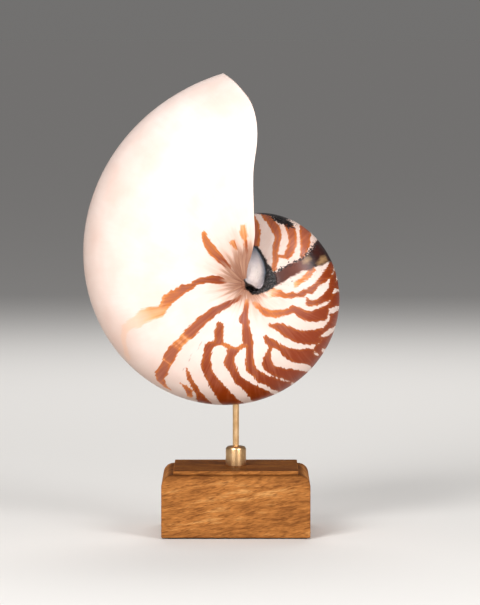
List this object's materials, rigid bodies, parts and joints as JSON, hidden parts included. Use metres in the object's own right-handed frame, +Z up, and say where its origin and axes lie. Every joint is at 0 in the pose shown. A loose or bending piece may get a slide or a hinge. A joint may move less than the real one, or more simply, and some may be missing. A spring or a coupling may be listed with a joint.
{
  "type": "nautilus shell on a stand",
  "caption": "Large coiled chambered sea shell held upright, mouth to one side, by a slim rod and collar on a square moulded hardwood block with a felt underside.",
  "frame": {"origin": "centre of the felt's underside, on the surface that the stand rests on", "axes": "+Z up; the shell coils about an axis parallel to Y, and its mouth opens towards +X; -Y is the side that is looked at"},
  "size_m": [0.1303, 0.0806, 0.2334],
  "materials": {
    "shell": "polished aragonite with reddish brown stripes, nacre inside",
    "brass": "satin turned",
    "hardwood": "oiled oak, open grain",
    "zinc_steel": "zinc plated",
    "felt": "pressed wool felt"
  },
  "bodies": {
    "root": {"nautilus_shell": "shell", "brass_rod": "brass", "brass_collar": "brass", "wooden_block": "hardwood", "rod_washer": "zinc_steel", "rod_nut": "zinc_steel", "felt_sheet": "felt"}
  },
  "joints": []
}
